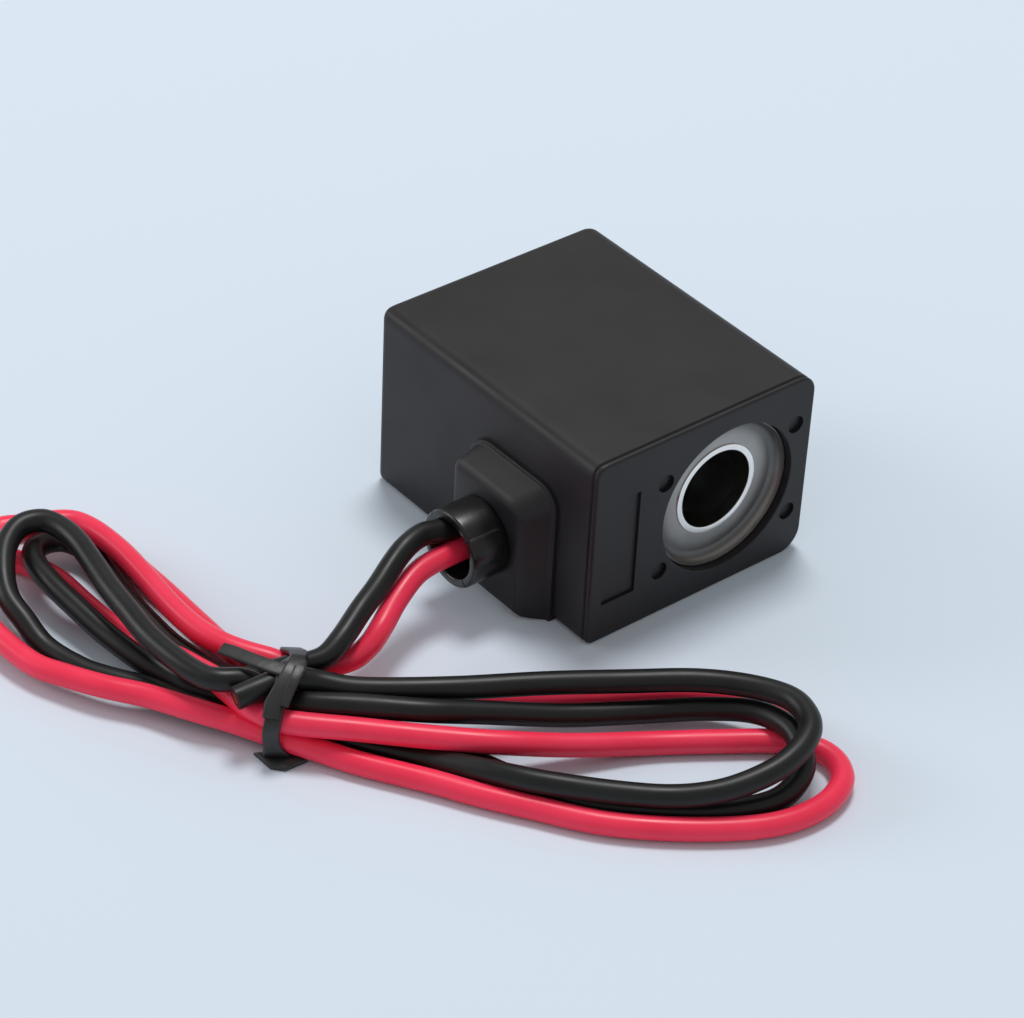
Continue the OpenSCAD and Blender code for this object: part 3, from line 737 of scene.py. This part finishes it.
# Slotted collar: the slits are repeated about its axis
COLLAR_STEP = 0.2
COLLAR_STEPS = 96
SLITS = 4
SLIT_WIDTH = 0.4
SLIT_FROM = 1.2
SLIT_REACH = 6


def geometry_tree(name, inputs):
    tree = bpy.data.node_groups.new(name, "GeometryNodeTree")
    for key, kind in inputs:
        tree.interface.new_socket(key, in_out="INPUT", socket_type=kind)
    tree.interface.new_socket("Geometry", in_out="OUTPUT", socket_type="NodeSocketGeometry")
    return tree, tree.nodes.new("NodeGroupInput"), tree.nodes.new("NodeGroupOutput")


def run_tree(obj, tree, values):
    """Runs a geometry tree on an object with its inputs set by name, and keeps the result."""
    modifier = obj.modifiers.new(tree.name, "NODES")
    modifier.node_group = tree
    for item in tree.interface.items_tree:
        if item.in_out == "INPUT" and item.name in values:
            modifier[item.identifier] = values[item.name]
    bake_modifiers(obj)


def slit_tree():
    """Cuts slits into a ring, evenly about an axis along x."""
    tree, given, result = geometry_tree("slit_ring", [
        ("Geometry", "NodeSocketGeometry"),
        ("Slits", "NodeSocketInt"),
        ("Slit width", "NodeSocketFloat"),
        ("Slit length", "NodeSocketFloat"),
        ("Reach", "NodeSocketFloat"),
        ("Start", "NodeSocketVector"),
        ("Finish", "NodeSocketMaterial"),
    ])
    size = add(tree, "ShaderNodeCombineXYZ", {
        "X": given.outputs["Slit length"], "Y": given.outputs["Slit width"],
        "Z": given.outputs["Reach"]})
    block = add(tree, "GeometryNodeMeshCube", {"Size": size.outputs[0]})
    half = add(tree, "ShaderNodeVectorMath", {
        0: size.outputs[0], 1: (-0.5, 0, 0.5)}, operation="MULTIPLY")
    moved = add(tree, "GeometryNodeTransform", {
        "Geometry": block.outputs["Mesh"], "Translation": half.outputs[0]})
    points = add(tree, "GeometryNodePoints", {
        "Count": given.outputs["Slits"], "Position": given.outputs["Start"]})
    index = add(tree, "GeometryNodeInputIndex")
    step = add(tree, "ShaderNodeMath", {0: math.tau, 1: given.outputs["Slits"]}, operation="DIVIDE")
    turn = add(tree, "ShaderNodeMath", {
        0: index.outputs[0], 1: step.outputs[0], 2: math.pi / 4}, operation="MULTIPLY_ADD")
    angles = add(tree, "ShaderNodeCombineXYZ", {"X": turn.outputs[0]})
    copies = add(tree, "GeometryNodeInstanceOnPoints", {
        "Points": points.outputs[0], "Instance": moved.outputs[0], "Rotation": angles.outputs[0]})
    solid = add(tree, "GeometryNodeRealizeInstances", {"Geometry": copies.outputs[0]})
    cut = add(tree, "GeometryNodeMeshBoolean", {
        "Mesh 1": given.outputs["Geometry"], "Mesh 2": solid.outputs[0]}, operation="DIFFERENCE")
    paint = add(tree, "GeometryNodeSetMaterial", {
        "Geometry": cut.outputs["Mesh"], "Material": given.outputs["Finish"]})
    tree.links.new(paint.outputs[0], result.inputs["Geometry"])
    return tree


def on_outlet(r, angle, out):
    """Places a profile about the outlet, its heights out from the boss's face."""
    return (BOSS_X - out, OUT_Y + r * math.cos(angle), OUT_Z + r * math.sin(angle))


def make_collar():
    root = BOSS_X - collar_hi.x
    root_r = COLLAR_R - COLLAR_STEP
    profile = rounded([
        (COLLAR_BORE, root, 0), (root_r, root, 0), (root_r, 0, 0), (COLLAR_R, 0, 0.06),
        (COLLAR_R, COLLAR_LEN, 0.35), (COLLAR_BORE, COLLAR_LEN, 0.25)])
    collar = lathe("slotted_collar", profile, on_outlet, COLLAR, COLLAR_STEPS)
    run_tree(collar, slit_tree(), {
        "Slits": SLITS, "Slit width": SLIT_WIDTH * MM, "Slit length": COLLAR_LEN * MM,
        "Reach": SLIT_REACH * MM, "Start": Vector((BOSS_X - SLIT_FROM, OUT_Y, OUT_Z)) * MM,
        "Finish": COLLAR})
    shade(collar, 32)
    return dress(collar, "collar_plastic", "lead_collar")


# Leads
def hank_point(u, v, z):
    """Place in the frame, in metres, of a point of the hank."""
    c, s = math.cos(HANK_TURN), math.sin(HANK_TURN)
    return Vector((HANK_X + u * c - v * s, HANK_Y + u * s + v * c, z)) * MM


def smooth_route(points, steps=8):
    """Even curve through the route's points."""
    p = [Vector(q) for q in points]
    p = [2 * p[0] - p[1]] + p + [2 * p[-1] - p[-2]]
    route = []
    for a, b, c, d in zip(p, p[1:], p[2:], p[3:]):
        for k in range(steps):
            t = k / steps
            bend = 2 * a - 5 * b + 4 * c - d
            twist = 3 * b - a - 3 * c + d
            q = 2 * b + (c - a) * t + bend * t * t + twist * t ** 3
            route.append(q / 2)
    route.append(p[-2])
    return [hank_point(*q) for q in route]


def make_lead(name, route, material):
    data = bpy.data.curves.new(name, "CURVE")
    data.dimensions = "3D"
    data.bevel_depth = LEAD_D / 2 * MM
    data.bevel_resolution = 6
    data.use_fill_caps = True
    spline = data.splines.new("POLY")
    spline.points.add(len(route) - 1)
    for point, at in zip(spline.points, route):
        point.co = (*at, 1)
    spline.use_smooth = True
    data.materials.append(material)
    return place_object(name, data)


# Cut copper strands, packed in rings about the lead's middle
STRAND_R = CORE_R / 5
STRAND_LEN = 0.8
STRAND_PROUD = 0.05

# Strands in each ring, and the ring's radius in strand radii
STRAND_RINGS = ((6, 2.04), (12, 4.0))


def strand_tree():
    """Bundle of cut strands at a place, pointing along a heading."""
    tree, given, result = geometry_tree("cut_strands", [
        ("Geometry", "NodeSocketGeometry"),
        ("Strand radius", "NodeSocketFloat"),
        ("Length", "NodeSocketFloat"),
        ("Place", "NodeSocketVector"),
        ("Heading", "NodeSocketVector"),
        ("Finish", "NodeSocketMaterial"),
    ])
    strand = add(tree, "GeometryNodeMeshCylinder", {
        "Vertices": 12, "Radius": given.outputs["Strand radius"], "Depth": given.outputs["Length"]})
    rings = add(tree, "GeometryNodeJoinGeometry")
    middle = add(tree, "GeometryNodePoints", {"Count": 1})
    tree.links.new(middle.outputs[0], rings.inputs[0])
    for count, times in STRAND_RINGS:
        reach = add(tree, "ShaderNodeMath", {
            0: given.outputs["Strand radius"], 1: times}, operation="MULTIPLY")
        circle = add(tree, "GeometryNodeMeshCircle", {"Vertices": count, "Radius": reach.outputs[0]})
        dots = add(tree, "GeometryNodeMeshToPoints", {"Mesh": circle.outputs[0]})
        tree.links.new(dots.outputs[0], rings.inputs[0])
    copies = add(tree, "GeometryNodeInstanceOnPoints", {
        "Points": rings.outputs[0], "Instance": strand.outputs["Mesh"]})
    solid = add(tree, "GeometryNodeRealizeInstances", {"Geometry": copies.outputs[0]})
    turn = add(tree, "FunctionNodeAlignRotationToVector", {
        "Vector": given.outputs["Heading"]}, axis="Z")
    placed = add(tree, "GeometryNodeTransform", {
        "Geometry": solid.outputs[0], "Translation": given.outputs["Place"],
        "Rotation": turn.outputs[0]})
    flat = add(tree, "GeometryNodeSetShadeSmooth", {
        "Geometry": placed.outputs[0], "Shade Smooth": False})
    paint = add(tree, "GeometryNodeSetMaterial", {
        "Geometry": flat.outputs[0], "Material": given.outputs["Finish"]})
    tree.links.new(paint.outputs[0], result.inputs["Geometry"])
    return tree


def make_strands(name, route, tree):
    heading = (route[-1] - route[-2]).normalized()
    place = route[-1] + heading * (STRAND_PROUD - STRAND_LEN / 2) * MM
    obj = place_object(name, bpy.data.meshes.new(name))
    run_tree(obj, tree, {
        "Strand radius": STRAND_R * MM, "Length": STRAND_LEN * MM, "Place": place,
        "Heading": heading, "Finish": COPPER})
    return obj


# Twist tie: a ribbon round the tied runs
TIE_T = 0.5
TIE_GAP = 0.1
TIE_STEPS = 120
TIE_WIDTH = 2.2
TIE_MIDDLE = Vector((-1.5, 3.8))
TIE_WIRE = (0.36, 0.2)

# Changes of the ribbon's width at its foot and knot and its shift along u, as (v and z, spread, amount)
TIE_WIDTHS = [(Vector((-6.9, 0.7)), 0.9, 1.0), (Vector((-0.4, 8.0)), 3.2, -0.7)]
TIE_CROSSING = (Vector((1.2, 6.9)), 3.2, 1.1)

# Front stretch of the ribbon: where it starts and is full in v, its height and spread, shift and width
FRONT_START, FRONT_FULL = -3.5, -6.0
FRONT_Z = 3.6
FRONT_SPREAD = 3.6
FRONT_SHIFT = -1.1
FRONT_WIDTH = -0.5

# Straps of the knot: points in hank u, v, z, widths at them, thickness, and the way the flat side faces
KNOT_LEAN = (0, -0.6, 0.8)
TAIL_LEAN = (0, -0.2, 1)
TIE_STRAPS = [
    ([(1.2, -1.2, 8.4), (1.1, -2.6, 8.6), (0.4, -3.9, 8.2), (-0.4, -5.2, 7.3), (-1.0, -6.2, 6.5),
      (-1.1, -7.1, 5.5)], [1.6, 1.9, 1.7, 1.6, 1.7, 1.7], 0.55, KNOT_LEAN),
    ([(1.5, -1.9, 8.5), (1.4, -3.2, 8.5), (0.9, -4.4, 7.95), (0.45, -5.4, 7.2), (0.1, -6.3, 6.4)],
     [1.2, 1.2, 1.1, 1.0, 0.9], 0.5, KNOT_LEAN),
    ([(0.6, -3.3, 8.2), (-1.2, -2.8, 8.35), (-3.2, -1.8, 8.35), (-5.2, -0.6, 8.25), (-6.3, 0.0, 8.15)],
     [1.5, 1.5, 1.5, 1.5, 1.4], 0.4, TAIL_LEAN),
]

# Foot of the tie on the table: its outline in hank u, v, and its levels as (share of the outline, z)
FOOT_OUTLINE = [(-2.8, -6.2), (-1.1, -8.2), (0.4, -8.4), (2.4, -7.0), (1.1, -6.2), (-1.1, -6.0)]
FOOT_MIDDLE = Vector((0, -7.0))
FOOT_LEVELS = [(0.94, 0.03), (1.0, 0.13), (1.0, 0.38), (0.92, 0.5)]


def tie_line(off):
    """Closed line drawn tight around the tied runs at a distance, in hank v, z."""
    reach = LEAD_D / 2 + off
    cloud = []
    for v, z in TIED:
        for k in range(48):
            t = math.tau * k / 48
            cloud.append(Vector((v + reach * math.cos(t), z + reach * math.sin(t))))
    line = [cloud[i] for i in convex_hull_2d(cloud)]
    return line + [line[0]]


def tie_loop(off, count):
    """Points evenly along the line around the tied runs, as (v, z) and outward normals."""
    line = tie_line(off)
    lengths = [(b - a).length for a, b in zip(line, line[1:])]
    step = sum(lengths) / count
    points, walked, i = [], 0.0, 0
    for k in range(count):
        want = k * step
        while walked + lengths[i] < want:
            walked += lengths[i]
            i += 1
        points.append(line[i].lerp(line[i + 1], (want - walked) / lengths[i]))
    found = []
    for k, p in enumerate(points):
        along = (points[(k + 1) % count] - points[k - 1]).normalized()
        normal = Vector((along.y, -along.x))
        if normal.dot(p - TIE_MIDDLE) < 0:
            normal = -normal
        found.append((p, normal))
    return found


def ribbon(bm, frames, closed):
    """Flat strip with soft edges. Each frame is (centre, across, out, width, thickness)."""
    rings = []
    for centre, across, out, width, thick in frames:
        r = min(width, thick) * 0.42
        x, y = width / 2, thick / 2
        outline = rounded([(-x, -y, r), (x, -y, r), (x, y, r), (-x, y, r)], 3)
        rings.append([bm.verts.new(centre + across * p.x + out * p.y) for p in outline])
    if closed:
        skin(bm, rings, closed=True)
    else:
        skin_capped(bm, rings)


def bump_at(distance, spread):
    """One at no distance, fading smoothly to nothing."""
    return math.exp(-(distance / spread) ** 2)


def change_at(p, change):
    """What a change (place, spread, amount) comes to at a point of the ribbon."""
    place, spread, amount = change
    return amount * bump_at((p - place).length, spread)


def tie_frames():
    """Frames of the ribbon round the tied runs, in hank u, v, z."""
    frames = []
    for p, n in tie_loop(TIE_GAP + TIE_T / 2, TIE_STEPS):
        front = max(0.0, min(1.0, (p.x - FRONT_START) / (FRONT_FULL - FRONT_START)))
        shift = change_at(p, TIE_CROSSING) + FRONT_SHIFT * front * bump_at(p.y - FRONT_Z, FRONT_SPREAD)
        width = TIE_WIDTH + FRONT_WIDTH * front + sum(change_at(p, change) for change in TIE_WIDTHS)
        centre = Vector((shift, p.x, p.y))
        frames.append((centre, Vector((1, 0, 0)), Vector((0, n.x, n.y)), width, TIE_T))
    return frames


def strap(points, widths, thick, out):
    """Frames of an open ribbon through points in hank u, v, z."""
    p = [Vector(q) for q in points]
    frames = []
    for i, centre in enumerate(p):
        along = (p[min(i + 1, len(p) - 1)] - p[max(i - 1, 0)]).normalized()
        across = along.cross(Vector(out)).normalized()
        frames.append((centre, across, across.cross(along).normalized(), widths[i], thick))
    return frames


def foot_ring(bm, share, z):
    places = [Vector(p) * share + FOOT_MIDDLE * (1 - share) for p in FOOT_OUTLINE]
    return [bm.verts.new((*p, z)) for p in places]


def lay_on_hank(bm):
    """Moves a mesh from hank u, v, z to the frame."""
    for v in bm.verts:
        v.co = hank_point(*v.co) / MM


def make_tie():
    bm = bmesh.new()
    ribbon(bm, tie_frames(), closed=True)
    for points, widths, thick, out in TIE_STRAPS:
        ribbon(bm, strap(points, widths, thick, out), closed=False)
    skin_capped(bm, [foot_ring(bm, share, z) for share, z in FOOT_LEVELS])
    lay_on_hank(bm)
    tie = make_object("twist_tie", bm, TIE, 50)
    return dress(tie, "tie_plastic", "tie_band")


def make_tie_core():
    bm = bmesh.new()
    ribbon(bm, [(*place[:3], *TIE_WIRE) for place in tie_frames()], closed=True)
    lay_on_hank(bm)
    core = make_object("tie_soft_wire", bm, TINNED, 50)
    return dress(core, "tinned_metal", "tie_wire")


def make_leads():
    strands = strand_tree()
    tie = make_tie()
    tie_core = make_tie_core()
    leads = (("black", BLACK, LEAD_BLACK, [tie, tie_core]), ("red", RED, LEAD_RED, []))
    for name, points, material, more in leads:
        route = smooth_route(points)
        lead = make_lead(name + "_insulated_lead", route, material)
        dress(lead, "lead_" + name, name + "_lead")
        core = make_strands(name + "_cut_strands", route, strands)
        dress(core, "core_copper", name + "_lead_core")


# Inner pieces keep their CAD shape
INNER_FINISHES = {
    "yoke": YOKE, "bobbin": BOBBIN, "winding": ENAMEL, "winding_tape": TAPE,
    "start_pin": TINNED, "finish_pin": TINNED, "start_wire": ENAMEL, "finish_wire": ENAMEL,
    "start_solder": TINNED, "finish_solder": TINNED,
    "red_conductor": COPPER, "black_conductor": COPPER,
}


def paint_inner():
    for name, material in INNER_FINISHES.items():
        mesh = frame["nodes"][name].data
        mesh.materials.clear()
        mesh.materials.append(material)


# Floor and lights. The lights' places and sizes are in metres, their powers in watts
FLOOR_HALF = 2000
FLOOR_COLOUR = (0.68, 0.77, 0.865, 1)
LIGHTS = [
    ("top", (0.22, 0.22, 1.1), 0.34, 6.6),
    ("left", (-0.75, 0.85, 0.5), 0.6, 3.4),
]
LIGHT_TARGET = Vector((-0.02, -0.01, 0.0))
SURROUND_LEVEL = 0.44


def make_floor():
    bm = bmesh.new()
    bmesh.ops.create_grid(bm, x_segments=1, y_segments=1, size=FLOOR_HALF)
    material, _, shader = new_material("pale_floor")
    shader.inputs["Base Color"].default_value = FLOOR_COLOUR
    shader.inputs["Roughness"].default_value = 0.9
    shader.inputs["Specular IOR Level"].default_value = 0.0
    make_object("floor", bm, material)


def make_light(name, at, size, power):
    data = bpy.data.lights.new(name, "AREA")
    data.shape = "DISK"
    data.size = size
    data.energy = power
    light = place_object(name, data)
    turn = (LIGHT_TARGET - Vector(at)).to_track_quat("-Z", "Y")
    light.matrix_world = Matrix.Translation(at) @ turn.to_matrix().to_4x4()


def make_surround():
    world = bpy.data.worlds.new("studio")
    bpy.context.scene.world = world
    world.use_nodes = True
    back = world.node_tree.nodes["Background"]
    back.inputs["Color"].default_value = (1, 1, 1, 1)
    back.inputs["Strength"].default_value = SURROUND_LEVEL


make_camera()
make_leads()
make_housing()
make_bore_ends()
make_collar()
paint_inner()
make_floor()
for light in LIGHTS:
    make_light(*light)
make_surround()
bpy.context.scene.view_settings.view_transform = "Standard"
